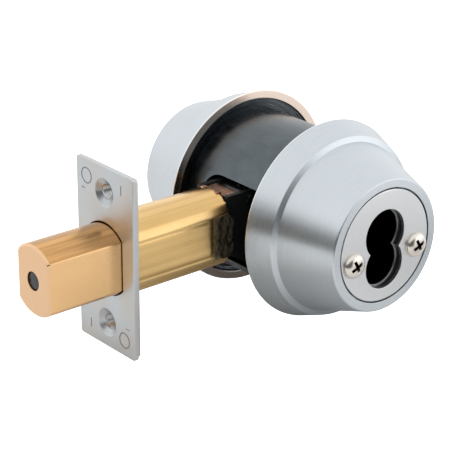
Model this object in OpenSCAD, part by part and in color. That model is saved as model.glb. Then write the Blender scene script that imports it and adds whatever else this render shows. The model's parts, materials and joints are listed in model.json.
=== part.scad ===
// Double-cylinder tubular deadbolt for small-format interchangeable cores, without its cores.
// Millimetres. The origin is where the door's cross bore meets mid door thickness. +Z is up,
// +Y points to the outside of the door, and the bolt throws towards -X. "half" sizes are
// measured from that origin.

/* [Door fit] */
// Door thickness between the two collar rims
door_thickness = 34.93; // [34.93:0.01:36]
// Backset, from the cross bore's centre to the faceplate's front
backset = 69.85; // [69.85:0.05:72]

/* [Faceplate] */
// Faceplate width, across the door edge
plate_w = 27; // [25:0.1:28.6]
// Faceplate height
plate_h = 57.15; // [56:0.05:60]
// Faceplate thickness
plate_t = 1.5; // [1.2:0.1:1.8]
// Thickness of the case flange behind the faceplate
flange_t = 1.1; // [0.9:0.1:1.4]
// Distance between the two faceplate screw holes
screw_spacing = 41.28; // [40.5:0.01:42]
// Radius of a faceplate screw hole
plate_hole_r = 2.4; // [2.2:0.05:2.6]

/* [Bolt] */
// Throw of the bolt
throw = 25.4; // [25.4:0.1:25.4]
// Bolt width, between its flats
bolt_w = 15.8; // [15:0.1:16]
// Radius of the bolt's rounded top and bottom
bolt_r = 11; // [10.8:0.05:11.1]
// Length of the bolt
bolt_len = 37.6; // [36:0.1:37.6]
// Clearance between the bolt and what it slides in
bolt_gap = 0.35; // [0.3:0.05:0.4]

/* [Latch case] */
// Outer radius of the latch case
case_r = 12.1; // [12:0.05:12.4]
// Outer width of the latch case
case_w = 17.5; // [17.5:0.1:17.8]
// Wall of the latch case
case_wall = 0.55; // [0.45:0.05:0.55]
// Rear end of the latch case, behind the cross bore's centre
case_rear = -30.2; // [-30.5:0.1:-29.5]

/* [Chassis] */
// Outer radius of the through-door tube
tube_r = 25.6; // [25.2:0.1:25.8]
// Wall of the through-door tube
tube_wall = 2; // [1.6:0.1:2.2]
// Top of the slot that the latch case enters through
slot_top = 12.8; // [12.4:0.1:13.2]
// Bottom of that slot
slot_bottom = -15; // [-15.5:0.1:-13]
// Outer end of that slot, which is open towards the inside of the door
slot_end = 11.2; // [10:0.1:12]

/* [Collars] */
// Rim radius of a collar, at the door
rim_r = 31.75; // [31:0.05:33]
// Inner radius of a collar's rim
rim_bore_r = 28.9; // [28.8:0.05:29.1]
// Radius where the first taper ends
shoulder_r = 28.6; // [28.4:0.1:29.2]
// Radius where the main cone starts
cone_r = 26.8; // [26.5:0.1:27.2]
// Radius where the main cone ends
nose_r = 20.9; // [20.5:0.1:21.2]
// Distance from mid door to the flat nose
nose_y = 44.7; // [44.5:0.1:45.2]
// Radius of the face plate in the nose
face_r = 17.6; // [17.5:0.05:17.7]

/* [Core socket] */
// Radius of the figure-eight socket's upper lobe
upper_lobe_r = 7.8; // [7.6:0.05:7.9]
// Radius of its lower lobe
lower_lobe_r = 7.45; // [7.3:0.05:7.5]
// Height of the upper lobe's centre
upper_lobe_z = 3.6; // [3.4:0.1:3.8]
// Height of the lower lobe's centre, which the drive turns about
lower_lobe_z = -6.35; // [-6.4:0.05:-6.3]

/* [Mounting screws] */
// Distance of each screw from the middle
screw_x = 12.7; // [12.6:0.05:12.8]
// Height of both screws
screw_z = -3; // [-3.1:0.1:-2.9]
// Radius of the screw's shank
screw_r = 2.05; // [2:0.05:2.1]
// Radius of the pan head
head_r = 3.95; // [3.7:0.05:4]

/* [Drive] */
// Distance from the hub's axis to the drive pin
crank_r = 16.5; // [16.5:0.1:16.5]
// Radius of the drive pin
drive_pin_r = 1.5; // [1.4:0.05:1.5]
// Radius of the hub's journals
journal_r = 5; // [4.9:0.05:5]

/* [Hidden] */
$fn = 96;
eps = 0.01;
fit = 0.05;      // radial clearance of a running fit
apart = 0.35;    // space between parts that move past each other

half_door = door_thickness / 2;
plate_x = -backset;
flange_x = plate_x + plate_t;
bolt_x = plate_x - throw;
bolt_rear = bolt_x + bolt_len;

side_window_x = -34.5;       // the case's sides are open from here back
side_window_top = 6.4;
side_window_bottom = -7.7;
side_window_corner = 3;

cheek_in = 5.5;            // inner and outer faces of a cheek plate
cheek_out = 7;
cheek_tab_in = 8.15;
cheek_tab_out = 8.6;
cheek_bend_x = -29.9;
cheek_end_x = -28.8;

rivet_r = 1.4;
rivet_waist_r = 2;
foot_z = lower_lobe_z - 3.75;   // underside of the detent spring's feet
rivet_places = [[-20, -9.6], [-20, 8.2], [-7, foot_z - rivet_waist_r - 0.05],
                [7, foot_z - rivet_waist_r - 0.05]];

insert_r = 2.9;            // bore for the bolt's hardened pin
tail_slot_depth = 8;
insert_end = bolt_rear - tail_slot_depth - 2;

tail_in = 1.8;             // inner and outer faces of a tail plate
tail_out = 3.3;
tail_low = -0.4;
tail_high = 2.3;
tail_pin_x = bolt_rear - 4;
tail_pin_z = (tail_low + tail_high) / 2;
tail_pin_waist_r = 0.9;
tail_pin_r = 1.5;

pin_start_x = -throw / 2;
pin_start_z = lower_lobe_z + sqrt(crank_r * crank_r - throw * throw / 4);
lost_motion = 0.67;        // how far a turning pin strays from a steady slide
fork_half = drive_pin_r + lost_motion + 0.18;
prong_w = 2;
prong_top = 12.2;

hub_r = 5.6;
arm_half = 1.5;
hub_shoulder = 5.2;
clip_y = cheek_out + apart;
clip_t = 0.7;
hub_end = 8.9;
hub_groove_r = 4.4;
bar_w = 7;                 // tailpiece section
bar_t = 2.2;
bar_gap = 0.1;

housing_r = 17.5;
housing_back = 13.5;
socket_floor = 15.7;
base_y = 20.4;             // door-side face of the base flange's plate
base_plate_t = 2;
front_flange_y = 40.5;
lip_y = 42.3;              // door-side face of the collar's lip
face_y = 43.5;             // door-side face of the face plate
face_front = nose_y - 0.1; // its front, a hair behind the nose
barrel_y = 24.9;           // where a core housing's base ends and its barrel begins
throw_journal_r = 6.65;

// ---------- placing ----------

// extrudes an outline drawn in (Y, Z) from x0 to x1
module along_x(x0, x1) {
    translate([x0, 0, 0]) rotate([90, 0, 90]) linear_extrude(x1 - x0) children();
}

// extrudes an outline drawn in (X, Z) from y0 to y1
module along_y(y0, y1) {
    translate([0, y1, 0]) rotate([90, 0, 0]) linear_extrude(y1 - y0) children();
}

// turns a profile drawn in (radius, y) about the Y axis
module turned(z = 0) {
    translate([0, 0, z]) rotate([-90, 0, 0]) rotate_extrude($fn = 180) children();
}

// a round bar along Y at (x, z)
module rod_y(x, z, r, y0, y1) {
    translate([x, y1, z]) rotate([90, 0, 0]) cylinder(r = r, h = y1 - y0);
}

// a round bar along X at height z
module rod_x(r, x0, x1, r_end) {
    translate([x0, 0, 0]) rotate([0, 90, 0]) cylinder(r1 = r, r2 = r_end, h = x1 - x0);
}

module inside_of_door() {
    mirror([0, 1, 0]) children();
}

module both_sides() {
    children();
    mirror([0, 1, 0]) children();
}

// ---------- outlines ----------

module rounded_rect(w, h, r) {
    square([w - 2 * r, h], center = true);
    square([w, h - 2 * r], center = true);
    for (sx = [-1, 1], sz = [-1, 1])
        translate([sx * (w / 2 - r), sz * (h / 2 - r)]) circle(r = r, $fn = 48);
}

// a circle cut by two upright flats
module flatted_circle(r, w) {
    intersection() {
        circle(r = r);
        square([w, 3 * r], center = true);
    }
}

// the latch case's outline, taken in by "inset"
module case_outline(inset) {
    flatted_circle(case_r - inset, case_w - 2 * inset);
}

// the core socket's outline
module figure_eight() {
    translate([0, upper_lobe_z]) circle(r = upper_lobe_r);
    translate([0, lower_lobe_z]) circle(r = lower_lobe_r);
}

module at_screws() {
    for (sx = [-1, 1]) translate([sx * screw_x, screw_z]) children();
}

// ---------- latch ----------

// a plate with two screw holes and an opening of the child's outline
module plate_blank(x0, x1, trim, hole_r) {
    along_x(x0, x1) difference() {
        rounded_rect(plate_w - 2 * trim, plate_h - 2 * trim, 1);
        children();
        for (sz = [-1, 1]) translate([0, sz * screw_spacing / 2]) circle(r = hole_r);
    }
}

module faceplate() {
    sink_r = 4.3;
    sink_depth = 1;
    color("lightgray") difference() {
        plate_blank(plate_x, flange_x, 0, plate_hole_r)
            flatted_circle(bolt_r + bolt_gap, bolt_w + 2 * bolt_gap);
        for (sz = [-1, 1]) translate([0, 0, sz * screw_spacing / 2])
            rod_x(sink_r, plate_x - eps, plate_x + sink_depth, plate_hole_r - eps);
    }
}

// the case's front end is staked into this flange
module case_flange() {
    color("silver") plate_blank(flange_x, flange_x + flange_t, 0.6, plate_hole_r + 0.4)
        case_outline(0);
}

// outline, in (X, Z), of a window in the case's side, lower than the window by "inset" at each edge
module side_window(x0, x1, inset) {
    height = side_window_top - side_window_bottom - 2 * inset;
    translate([(x0 + x1) / 2, (side_window_top + side_window_bottom) / 2])
        rounded_rect(x1 - x0, height, side_window_corner);
}

// tongue behind the case's top: it steps down, runs back between the cheeks and is turned down at
// its end, with a notch in each edge
module case_tongue() {
    root_z = 11.35;
    tongue_z = 10.2;
    neck = 3.8;
    half_w = 5.2;
    step_x = -29.95;
    rear = -23.5;
    notch_x = -27.9;
    notch = 1;
    lip_z = 8;
    root_x = case_rear - 1;
    translate([root_x, -neck, root_z]) cube([step_x - root_x, 2 * neck, case_wall]);
    translate([step_x, -neck, tongue_z]) cube([case_wall, 2 * neck, root_z + case_wall - tongue_z]);
    translate([rear - case_wall, -half_w, lip_z])
        cube([case_wall, 2 * half_w, tongue_z + case_wall - lip_z]);
    translate([0, 0, tongue_z]) linear_extrude(case_wall) both_edges() polygon([
        [step_x, 0], [step_x, neck], [notch_x - notch, neck], [notch_x - notch, half_w],
        [notch_x, half_w - notch], [notch_x + notch, half_w], [rear, half_w], [rear, 0]
    ]);
}

module both_edges() {
    children();
    mirror([0, 1]) children();
}

module case_shell() {
    color("goldenrod") case_tongue();
    color("goldenrod") difference() {
        along_x(flange_x, case_rear) case_outline(0);
        along_x(flange_x - 1, case_rear + 1) case_outline(case_wall);
        along_y(-case_w, case_w) side_window(side_window_x, case_rear + 10, 0);
    }
}

// a cheek plate: an outer tab in the case's side window, a bend, and an inner arm to the hub
module cheek() {
    tab_inset = 0.1;
    bend_top = side_window_top - side_window_corner;
    bend_bottom = side_window_bottom + side_window_corner;
    arm_top = 11.2;
    arm_bottom = -12.6;
    heel_x = -21;            // the arm's lower edge rises from here forward
    boss_r = 11.2;
    arm_end = 9;
    along_y(cheek_tab_in, cheek_tab_out)
        side_window(side_window_x + tab_inset, cheek_end_x, tab_inset);
    along_x(cheek_bend_x, cheek_end_x) translate([cheek_in, bend_bottom])
        square([cheek_tab_out - cheek_in, bend_top - bend_bottom]);
    difference() {
        along_y(cheek_in, cheek_out) difference() {
            union() {
                polygon([[cheek_bend_x, side_window_bottom], [heel_x, arm_bottom],
                         [arm_end, arm_bottom], [arm_end, arm_top], [cheek_bend_x, arm_top]]);
                translate([0, lower_lobe_z]) circle(r = boss_r);
            }
            at_screws() circle(r = screw_r + 0.5);
        }
        rod_y(0, lower_lobe_z, journal_r + fit, cheek_in - 1, cheek_out + 1);
    }
}

module inside_cheek_plate() {
    color("dimgray") inside_of_door() difference() {
        cheek();
        rivet_holes();
    }
}

module outside_cheek_plate() {
    color("dimgray") difference() {
        cheek();
        rivet_holes();
    }
}

module rivet_holes() {
    for (p = rivet_places) rod_y(p[0], p[1], rivet_r, cheek_in - 1, cheek_out + 1);
}

// spacer rivets: a waist between the cheeks, a thinner shank through each, and a head outside
module cheek_rivets() {
    rivet_head_r = 2.1;
    rivet_head_t = 0.7;
    color("gray") for (p = rivet_places) {
        rod_y(p[0], p[1], rivet_waist_r, -cheek_in, cheek_in);
        rod_y(p[0], p[1], rivet_r, -cheek_out, cheek_out);
        both_sides() rod_y(p[0], p[1], rivet_head_r, cheek_out, cheek_out + rivet_head_t);
    }
}

// ---------- bolt ----------

module bolt() {
    chamfer = 0.8;
    tail_slot_w = 2 * tail_out + 0.2;
    tail_slot_top = 6;
    tail_slot_bottom = -3;
    color("peru") difference() {
        intersection() {
            along_x(bolt_x, bolt_rear) flatted_circle(bolt_r, bolt_w);
            union() {
                rod_x(bolt_r - chamfer, bolt_x, bolt_x + chamfer, bolt_r);
                rod_x(bolt_r, bolt_x + chamfer, bolt_rear, bolt_r);
            }
        }
        // chamfers along the flats' front edges
        for (sy = [-1, 1]) translate([bolt_x, sy * bolt_w / 2, -2 * bolt_r]) rotate(45)
            cube([chamfer * sqrt(2), chamfer * sqrt(2), 8 * bolt_r], center = true);
        // bore for the hardened pin, blind at the rear
        rod_x(insert_r, bolt_x - 1, insert_end, insert_r);
        // slot for the tail plates
        along_x(bolt_rear - tail_slot_depth, bolt_rear + 1)
            translate([-tail_slot_w / 2, tail_slot_bottom])
                square([tail_slot_w, tail_slot_top - tail_slot_bottom]);
        rod_y(tail_pin_x, tail_pin_z, tail_pin_r + fit, -bolt_w, bolt_w);
    }
}

module hardened_pin() {
    recess = 0.4;
    color("darkslategray") rod_x(insert_r - fit, bolt_x + recess, insert_end - 0.1, insert_r - fit);
}

// one arm of the bolt's tail, with a fork that straddles the drive pin
module tail_plate() {
    front_x = bolt_rear - tail_slot_depth + 0.5;
    fork_front = pin_start_x - fork_half - prong_w;
    fork_rear = pin_start_x + fork_half + prong_w;
    difference() {
        along_y(tail_in, tail_out) {
            translate([front_x, tail_low]) square([fork_rear - front_x, tail_high - tail_low]);
            for (x = [fork_front, fork_rear - prong_w])
                translate([x, tail_low]) square([prong_w, prong_top - tail_low]);
        }
        rod_y(tail_pin_x, tail_pin_z, tail_pin_waist_r, -bolt_w, bolt_w);
    }
}

module inside_tail_plate() {
    color("silver") inside_of_door() tail_plate();
}

module outside_tail_plate() {
    color("silver") tail_plate();
}

// joins the tail plates to the bolt: thin through the plates, full size in the bolt
module tail_pin() {
    reach = bolt_w / 2 - 0.3;
    color("gray") {
        rod_y(tail_pin_x, tail_pin_z, tail_pin_waist_r - fit / 2, -reach, reach);
        both_sides() rod_y(tail_pin_x, tail_pin_z, tail_pin_r, tail_out + 0.1, reach);
    }
}

// ---------- drive ----------

module drive_hub() {
    arm_tip_r = 2.8;
    arm_turn = atan2(pin_start_z - lower_lobe_z, pin_start_x);
    color("silver") translate([0, 0, lower_lobe_z]) difference() {
        union() {
            rod_y(0, 0, hub_r, -hub_shoulder, hub_shoulder);
            rod_y(0, 0, hub_groove_r, -hub_end, hub_end);
            both_sides() {
                rod_y(0, 0, journal_r, hub_shoulder, clip_y);
                rod_y(0, 0, journal_r, clip_y + clip_t, hub_end);
            }
            along_y(-arm_half, arm_half) rotate(arm_turn) {
                translate([0, -arm_tip_r]) square([crank_r, 2 * arm_tip_r]);
                translate([crank_r, 0]) circle(r = arm_tip_r);
            }
        }
        along_y(-hub_end - 1, hub_end + 1)
            square([bar_t + bar_gap * 2, bar_w + bar_gap * 2], center = true);
        rod_y(pin_start_x, pin_start_z - lower_lobe_z, drive_pin_r, -2 * arm_half, 2 * arm_half);
    }
}

module drive_pin() {
    reach = 4;
    color("gray") rod_y(pin_start_x, pin_start_z, drive_pin_r, -reach, reach);
}

// an open retaining ring in the XZ plane, with its gap at the bottom
module snap_ring(r_in, r_out, y0, thick) {
    gap = 3;
    translate([0, 0, lower_lobe_z]) along_y(y0, y0 + thick) difference() {
        circle(r = r_out);
        circle(r = r_in);
        translate([0, -r_out]) square([gap, 2 * (r_out - r_in) + 2], center = true);
    }
}

module hub_clips() {
    color("darkgray") both_sides() snap_ring(hub_groove_r + 0.02, 6.3, clip_y, clip_t);
}

module tailpiece() {
    reach = 15;
    color("darkgray") along_y(-reach, reach)
        translate([0, lower_lobe_z]) square([bar_t, bar_w], center = true);
}

// a bowed strip under the hub, whose feet rest on two of the rivets
module detent_spring() {
    strip_w = 6;
    strip_t = 0.5;
    bow_r = hub_r + apart;
    foot_end = 9.6;
    foot_low = foot_z - lower_lobe_z;
    foot_high = foot_low + strip_t;
    steps = 24;
    // point i of the bow at radius r, which starts and ends at height z
    function bow(r, z, i) =
        let (start = asin(-z / r), turn = 180 + start + i * (180 - 2 * start) / steps)
        [r * cos(turn), r * sin(turn)];
    color("lightsteelblue") translate([0, 0, lower_lobe_z])
        along_y(-strip_w / 2, strip_w / 2) polygon(concat(
            [[-foot_end, foot_high], [-foot_end, foot_low]],
            [for (i = [0:steps]) bow(bow_r + strip_t, foot_low, i)],
            [[foot_end, foot_low], [foot_end, foot_high]],
            [for (i = [steps:-1:0]) bow(bow_r, foot_high, i)]));
}

// ---------- throw members ----------

module throw_member() {
    flange_r = 6.85;
    flange_y = socket_floor + 0.3;
    flange_thick = 1.2;
    back = 11.6;
    clip_at = 12.4;
    prong_end = 24;
    prong_x = 3.4;
    prong_r = 1.2;
    slot_depth = 3.7;
    translate([0, 0, lower_lobe_z]) difference() {
        union() {
            rod_y(0, 0, throw_journal_r, clip_at + 0.8, flange_y);
            rod_y(0, 0, 6, clip_at, clip_at + 0.8);
            rod_y(0, 0, throw_journal_r, back, clip_at);
            rod_y(0, 0, flange_r, flange_y, flange_y + flange_thick);
            for (sx = [-1, 1]) rod_y(sx * prong_x, 0, prong_r, flange_y, prong_end);
        }
        along_y(back - 1, back + slot_depth)
            square([bar_t + 2 * bar_gap, bar_w + 2 * bar_gap], center = true);
    }
}

module inside_throw_member() {
    color("darkkhaki") inside_of_door() throw_member();
}

module outside_throw_member() {
    color("darkkhaki") throw_member();
}

module throw_member_clips() {
    color("darkgray") both_sides() snap_ring(6.02, 8.3, 12.42, 0.76);
}

// ---------- chassis and housings ----------

module chassis_tube() {
    slot_corner = 7;
    slot_w = base_y + 10 + slot_end;
    color("black") difference() {
        turned() translate([tube_r - tube_wall, -base_y]) square([tube_wall, 2 * base_y]);
        along_x(-2 * tube_r, 0) translate([slot_end - slot_w / 2, (slot_top + slot_bottom) / 2])
            rounded_rect(slot_w, slot_top - slot_bottom, slot_corner);
    }
}

// stepped ring that fills the collar's rim and closes the end of the tube
module base_flange() {
    step_r = [rim_bore_r - fit, 28.1, 26.8];
    step_y = [half_door + 0.75, half_door + 1.75, base_y];
    bore_r = tube_r + fit;
    hole_r = housing_r + 0.1;
    back_r = 27.6;
    turned() {
        for (i = [0, 1]) translate([bore_r, step_y[i]])
            difference() {
                square([step_r[i] - bore_r, step_y[i + 1] - step_y[i] + (i == 0 ? 1 : 0)]);
                translate([-1, -1]) square([step_r[i + 1] - bore_r + 1, i == 0 ? 2 : 1]);
            }
        translate([step_r[2], base_y]) square([back_r - step_r[2], base_plate_t]);
        translate([hole_r, base_y]) square([step_r[2] - hole_r, base_plate_t]);
    }
}

module inside_base_flange() {
    color([0.12, 0.12, 0.13]) inside_of_door() base_flange();
}

module outside_base_flange() {
    color([0.12, 0.12, 0.13]) base_flange();
}

// base of a core housing: the back of the socket, and a shoulder that clamps the base flange
module core_base(screw_hole_r) {
    shoulder_out_r = 23.4;
    difference() {
        turned() {
            translate([0, housing_back]) square([housing_r, barrel_y - housing_back]);
            translate([0, base_y + base_plate_t])
                square([shoulder_out_r, barrel_y - base_y - base_plate_t]);
        }
        along_y(socket_floor, barrel_y + 1) figure_eight();
        rod_y(0, lower_lobe_z, throw_journal_r + fit, housing_back - 1, socket_floor + 1);
        along_y(housing_back - 1, barrel_y + 1) at_screws() circle(r = screw_hole_r);
    }
}

module inside_core_base() {
    color([0.08, 0.08, 0.09]) inside_of_door() core_base(screw_r + 0.3);
}

module outside_core_base() {
    color([0.08, 0.08, 0.09]) core_base(screw_r + fit);
}

// barrel around the core, with a flange at its front that holds the collar
module core_barrel() {
    front_flange_r = 19.3;
    front_flange_t = 1.5;
    difference() {
        turned() {
            translate([0, barrel_y]) square([housing_r, face_y - barrel_y]);
            translate([0, front_flange_y]) square([front_flange_r, front_flange_t]);
        }
        along_y(barrel_y - 1, face_y + 1) figure_eight();
    }
}

module inside_core_barrel() {
    color([0.08, 0.08, 0.09]) inside_of_door() difference() {
        core_barrel();
        along_y(barrel_y - 1, face_y + 1) at_screws() circle(r = screw_r + 0.3);
    }
}

// the mounting screws end in this barrel, and the face plate's studs are pressed into it
module outside_core_barrel() {
    color([0.08, 0.08, 0.09]) difference() {
        core_barrel();
        along_y(barrel_y - 1, 32) at_screws() circle(r = screw_r + fit);
        along_y(35, face_y + 1) at_screws() circle(r = 1.5);
    }
}

module face_disc() {
    edge = 0.3;
    difference() {
        turned() polygon([[0, face_y], [face_r, face_y], [face_r, face_front - edge],
                          [face_r - edge, face_front], [0, face_front]]);
        along_y(face_y - 1, face_front + 1) figure_eight();
    }
}

module inside_face_plate() {
    color("gainsboro") inside_of_door() difference() {
        face_disc();
        along_y(face_y - 1, face_front + 1) at_screws() circle(r = screw_r + 0.3);
    }
}

module outside_face_plate() {
    color("gainsboro") face_disc();
}

module outside_face_studs() {
    stud_from = 35.2;
    stud_r = 1.48;
    color("gray") for (sx = [-1, 1]) rod_y(sx * screw_x, screw_z, stud_r, stud_from, face_y);
}

// ---------- collars ----------

module collar() {
    rim_land = 3;            // depth of the rim's cylindrical bore
    shoulder_y = 25.8;
    cone_y = 26.4;
    nose_round = 0.9;
    wall = 1.8;
    lip_bore_r = face_r + apart;
    cone_slope = (cone_r - nose_r) / (nose_y - nose_round - cone_y);
    function cone_at(y) = cone_r - cone_slope * (y - cone_y);
    turned() {
        polygon([
            [rim_bore_r, half_door], [rim_r - 0.4, half_door], [rim_r, half_door + 0.4],
            [shoulder_r, shoulder_y], [cone_r, cone_y], [nose_r, nose_y - nose_round],
            [nose_r - 0.3, nose_y - 0.35], [nose_r - nose_round, nose_y], [lip_bore_r, nose_y],
            [lip_bore_r, lip_y], [cone_at(lip_y) - wall, lip_y],
            [cone_at(cone_y + 0.6) - wall, cone_y + 0.6],
            [shoulder_r - wall, shoulder_y], [rim_bore_r, half_door + rim_land]
        ]);
    }
}

module inside_collar() {
    color([0.77, 0.79, 0.82]) inside_of_door() collar();
}

module outside_collar() {
    color([0.77, 0.79, 0.82]) collar();
}

// ---------- mounting screws ----------

// pan-head screws with a cross recess, from the inside face plate into the outside housing
module mounting_screws() {
    head_t = 2;
    dome_t = 0.9;
    tip_y = 31;
    recess_arm = 2.1;
    recess_w = 0.9;
    recess_turn = 25;
    color([0.8, 0.77, 0.72]) for (sx = [-1, 1]) {
        rod_y(sx * screw_x, screw_z, screw_r, -face_front, tip_y);
        difference() {
            translate([sx * screw_x, -face_front, screw_z]) rotate([90, 0, 0]) {
                cylinder(r = head_r, h = head_t - dome_t);
                translate([0, 0, head_t - dome_t])
                    cylinder(r1 = head_r, r2 = head_r * 0.66, h = dome_t);
            }
            translate([sx * screw_x, -face_front - head_t, screw_z]) rotate([0, recess_turn, 0])
                for (turn = [0, 90]) rotate([0, turn, 0])
                    cube([2 * recess_arm, 3, recess_w], center = true);
        }
    }
}

faceplate();
case_flange();
case_shell();
inside_cheek_plate();
outside_cheek_plate();
cheek_rivets();
bolt();
hardened_pin();
inside_tail_plate();
outside_tail_plate();
tail_pin();
drive_hub();
drive_pin();
hub_clips();
tailpiece();
detent_spring();
inside_throw_member();
outside_throw_member();
throw_member_clips();
chassis_tube();
inside_base_flange();
outside_base_flange();
inside_core_base();
outside_core_base();
inside_core_barrel();
outside_core_barrel();
inside_face_plate();
outside_face_plate();
outside_face_studs();
inside_collar();
outside_collar();
mounting_screws();
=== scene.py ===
"""Deadbolt door lock: detailed visual pieces, materials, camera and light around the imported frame."""
import json
import math

import bmesh
import bpy
from mathutils import Matrix, Vector


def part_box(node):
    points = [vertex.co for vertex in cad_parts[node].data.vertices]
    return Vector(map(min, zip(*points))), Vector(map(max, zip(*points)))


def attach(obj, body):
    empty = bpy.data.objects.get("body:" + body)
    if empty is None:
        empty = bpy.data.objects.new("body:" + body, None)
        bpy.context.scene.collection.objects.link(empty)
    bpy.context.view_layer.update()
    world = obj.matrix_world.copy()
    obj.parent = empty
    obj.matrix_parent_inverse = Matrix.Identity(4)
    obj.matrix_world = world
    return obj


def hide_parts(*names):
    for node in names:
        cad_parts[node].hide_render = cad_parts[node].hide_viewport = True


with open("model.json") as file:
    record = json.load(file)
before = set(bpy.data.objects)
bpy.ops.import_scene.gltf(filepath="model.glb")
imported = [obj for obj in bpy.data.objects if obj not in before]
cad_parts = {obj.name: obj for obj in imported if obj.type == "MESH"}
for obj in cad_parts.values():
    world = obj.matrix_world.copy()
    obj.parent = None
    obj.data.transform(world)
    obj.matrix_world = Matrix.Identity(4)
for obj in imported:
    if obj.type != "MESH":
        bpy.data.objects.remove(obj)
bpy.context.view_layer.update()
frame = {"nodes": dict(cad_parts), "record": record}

MM = 0.001
CORNERS = ((-1, -1), (1, -1), (1, 1), (-1, 1))

# -------- sizes, in metres, from the frame

COLLAR_LOW, COLLAR_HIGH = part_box("outside_collar")
RIM_Y, NOSE_Y, RIM_R = COLLAR_LOW[1], COLLAR_HIGH[1], COLLAR_HIGH[0]
PLATE_LOW, PLATE_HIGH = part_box("faceplate")
FLANGE_LOW, FLANGE_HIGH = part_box("case_flange")
CASE_LOW, CASE_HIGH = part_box("case_shell")
BOLT_LOW, BOLT_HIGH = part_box("bolt")
TUBE_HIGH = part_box("chassis_tube")[1]
DISC_LOW, DISC_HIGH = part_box("outside_face_plate")
PIN_LOW, PIN_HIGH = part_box("hardened_pin")
CHEEK_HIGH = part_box("outside_cheek_plate")[1]
BASE_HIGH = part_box("outside_base_flange")[1]
SCREW_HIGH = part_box("mounting_screws")[1]

RIM_BORE_R = BASE_HIGH[0] + 0.05 * MM
FLANGE_STEPS = (28.1 * MM, 26.8 * MM)
SHOULDER_R, SHOULDER_Y = 28.6 * MM, 25.8 * MM
CONE_R, CONE_Y = 26.8 * MM, 26.4 * MM
NOSE_R = 20.9 * MM
LIP_Y = 42.3 * MM
COLLAR_WALL = 1.8 * MM
FACE_R = DISC_HIGH[0]

UPPER_LOBE = (3.6 * MM, 7.8 * MM)      # height of the centre, radius
LOWER_LOBE = (-6.35 * MM, 7.45 * MM)
SOCKET_FLOOR = 15.7 * MM
SOCKET_STEP_Y = 41.7 * MM
SOCKET_BACK_R, SOCKET_BACK_Y = 6.7 * MM, 13.5 * MM
CORE_R, CORE_BASE_R, CORE_LIP_R = 17.5 * MM, 23.4 * MM, 19.3 * MM

SCREW_X, SCREW_Z = 12.7 * MM, -3.0 * MM
HEAD_R, HEAD_T = 3.95 * MM, 2.0 * MM

BOLT_R, BOLT_HALF_W = 11.0 * MM, 7.9 * MM
CASE_R, CASE_HALF_W, CASE_WALL, CORNER_WALL = 12.1 * MM, 8.75 * MM, 0.55 * MM, 0.12 * MM
CORNER_TURN, CORNER_REACH = math.radians(23.4), 10.6 * MM
CASE_REAR = -30.2 * MM
TONGUE_TOP = 10.75 * MM
DIP_DEPTH, DIP_REACH, DIP_TOP, DIP_FADE = 0.26 * MM, 3.2 * MM, 6.6 * MM, 1.6 * MM
SIDE_FROM_Y = 5 * MM                   # the case's outline is its side from here outwards
CREASE_Z, CREASE_HALF_W = 5.9 * MM, 0.55 * MM
SIDE_WINDOW_X, SIDE_WINDOW_TOP, SIDE_WINDOW_BOTTOM = -34.5 * MM, 6.4 * MM, -7.7 * MM
SIDE_WINDOW_CORNER = 3.0 * MM
PLATE_HOLE_Z = 20.64 * MM
SINK_R, SINK_DEPTH, SINK_LEAN = 4.45 * MM, 1.15 * MM, 1.55
MARK_DEPTH, RING_MARK, RING_R, LINE_W = 0.12 * MM, (8.55 * MM, 23.45 * MM), 2.55 * MM, 0.4 * MM
DASH_HALF_W = 0.17 * MM
DASH_MARKS = ((-8.1 * MM, 23.6 * MM, DASH_HALF_W, 1.5 * MM),
              (10.2 * MM, 19.3 * MM, 0.8 * MM, DASH_HALF_W))    # y, z and half sizes

# -------- outlines


def arc(centre, radius, start, end, steps):
    """Points along an arc, angles in radians, both ends included."""
    turn = (end - start) / steps
    return [(centre[0] + radius * math.cos(start + i * turn),
             centre[1] + radius * math.sin(start + i * turn)) for i in range(steps + 1)]


def rounded(corners, steps=5):
    """A closed outline from (u, v, fillet radius) corners."""
    points = []
    count = len(corners)
    for i, (u, v, radius) in enumerate(corners):
        here = Vector((u, v))
        before = Vector(corners[i - 1][:2]) - here
        after = Vector(corners[(i + 1) % count][:2]) - here
        angle = before.angle(after)
        reach = radius / math.tan(angle / 2) if radius > 0 else 0.0
        reach = min(reach, before.length * 0.49, after.length * 0.49)
        if reach < 1e-7:
            points.append((u, v))
            continue
        start = here + before.normalized() * reach
        end = here + after.normalized() * reach
        for k in range(steps + 1):
            t = k / steps
            point = start.lerp(here, t).lerp(here.lerp(end, t), t)
            points.append((point.x, point.y))
    return points


def circle(centre, radius, steps=96):
    return arc(centre, radius, 0, 2 * math.pi * (steps - 1) / steps, steps - 1)


def rounded_rect(half_u, half_v, radius):
    return rounded([(-half_u, -half_v, radius), (half_u, -half_v, radius),
                    (half_u, half_v, radius), (-half_u, half_v, radius)], 8)


def flatted(radius, half_width, steps=40):
    """A circle cut by two upright flats, in (y, z)."""
    edge = math.acos(half_width / radius)
    return (arc((0, 0), radius, edge, math.pi - edge, steps)
            + arc((0, 0), radius, math.pi + edge, 2 * math.pi - edge, steps))


def case_outline(inset=0.0, corner_inset=0.0, steps=40):
    """The latch case's outline, in (y, z): arcs above and below, flats, and a flat at each corner."""
    radius, half_w, reach = CASE_R - inset, CASE_HALF_W - inset, CORNER_REACH - corner_inset
    crease = CORNER_TURN + math.acos(reach / radius)
    corner_z = (reach - half_w * math.cos(CORNER_TURN)) / math.sin(CORNER_TURN)
    top = arc((0, 0), radius, crease, math.pi - crease, steps)
    right = [(half_w, -corner_z), (half_w, corner_z)]
    left = [(-half_w, corner_z), (-half_w, -corner_z)]
    bottom = arc((0, 0), radius, math.pi + crease, 2 * math.pi - crease, steps)
    return right + top + left + bottom


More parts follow.
